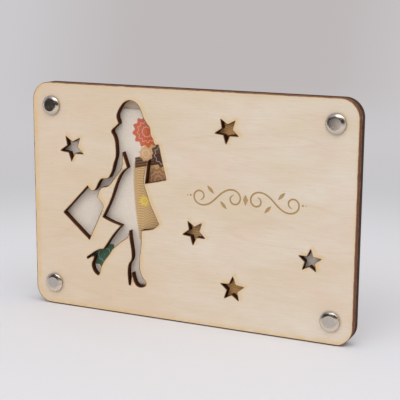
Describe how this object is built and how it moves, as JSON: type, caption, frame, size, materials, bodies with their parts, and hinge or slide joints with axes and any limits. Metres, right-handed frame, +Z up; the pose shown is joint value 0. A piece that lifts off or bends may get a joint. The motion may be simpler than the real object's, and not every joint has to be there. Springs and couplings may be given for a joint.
{
  "type": "wooden gift card",
  "caption": "Upright money gift card: two plywood plates joined by book screws over a paper note that shows through a figure and star cut-outs.",
  "frame": {"origin": "middle of the bottom edge, halfway through the card's thickness", "axes": "+X along the card from left to right as seen from the front, +Y through it from the front to the back, +Z up"},
  "size_m": [0.149, 0.0104, 0.1],
  "materials": {
    "front_wood": "raw birch plywood with laser-burnt edges",
    "back_wood": "raw birch plywood with laser-burnt edges",
    "paper": "printed note paper",
    "nickel": "polished nickel plating"
  },
  "bodies": {
    "back": {"back_plate": "back_wood"},
    "front": {"front_plate": "front_wood"},
    "note": {"gift_note": "paper"},
    "post_top_left": {"post_top_left": "nickel"},
    "post_top_right": {"post_top_right": "nickel"},
    "post_bottom_left": {"post_bottom_left": "nickel"},
    "post_bottom_right": {"post_bottom_right": "nickel"},
    "screw_top_left": {"screw_top_left": "nickel"},
    "screw_top_right": {"screw_top_right": "nickel"},
    "screw_bottom_left": {"screw_bottom_left": "nickel"},
    "screw_bottom_right": {"screw_bottom_right": "nickel"}
  },
  "joints": [
    {"name": "front_lift_off", "type": "slide", "parent": "back", "child": "front", "axis": [0, -1, 0], "range_m": [0, 0.02]},
    {"name": "note_slide", "type": "slide", "parent": "back", "child": "note", "axis": [0, 0, 1], "range_m": [0, 0.08]},
    {"name": "screw_turn_top_left", "type": "hinge", "parent": "back", "child": "screw_top_left", "pos_m": [-0.065, 0.00335, 0.09], "axis": [0, 1, 0], "range_deg": [0, 2250.5]},
    {"name": "screw_turn_top_right", "type": "hinge", "parent": "back", "child": "screw_top_right", "pos_m": [0.065, 0.00335, 0.09], "axis": [0, 1, 0], "range_deg": [0, 2250.5]},
    {"name": "screw_turn_bottom_left", "type": "hinge", "parent": "back", "child": "screw_bottom_left", "pos_m": [-0.065, 0.00335, 0.01], "axis": [0, 1, 0], "range_deg": [0, 2250.5]},
    {"name": "screw_turn_bottom_right", "type": "hinge", "parent": "back", "child": "screw_bottom_right", "pos_m": [0.065, 0.00335, 0.01], "axis": [0, 1, 0], "range_deg": [0, 2250.5]},
    {"name": "post_travel_top_left", "type": "slide", "parent": "front", "child": "post_top_left", "axis": [0, -1, 0], "range_m": [0, 0.00438]},
    {"name": "post_travel_top_right", "type": "slide", "parent": "front", "child": "post_top_right", "axis": [0, -1, 0], "range_m": [0, 0.00438]},
    {"name": "post_travel_bottom_left", "type": "slide", "parent": "front", "child": "post_bottom_left", "axis": [0, -1, 0], "range_m": [0, 0.00438]},
    {"name": "post_travel_bottom_right", "type": "slide", "parent": "front", "child": "post_bottom_right", "axis": [0, -1, 0], "range_m": [0, 0.00438]}
  ],
  "couplings": [
    {"joint": "screw_turn_top_left", "follows": "post_travel_top_left", "rad_per_m": 8976},
    {"joint": "screw_turn_top_right", "follows": "post_travel_top_right", "rad_per_m": 8976},
    {"joint": "screw_turn_bottom_left", "follows": "post_travel_bottom_left", "rad_per_m": 8976},
    {"joint": "screw_turn_bottom_right", "follows": "post_travel_bottom_right", "rad_per_m": 8976}
  ]
}
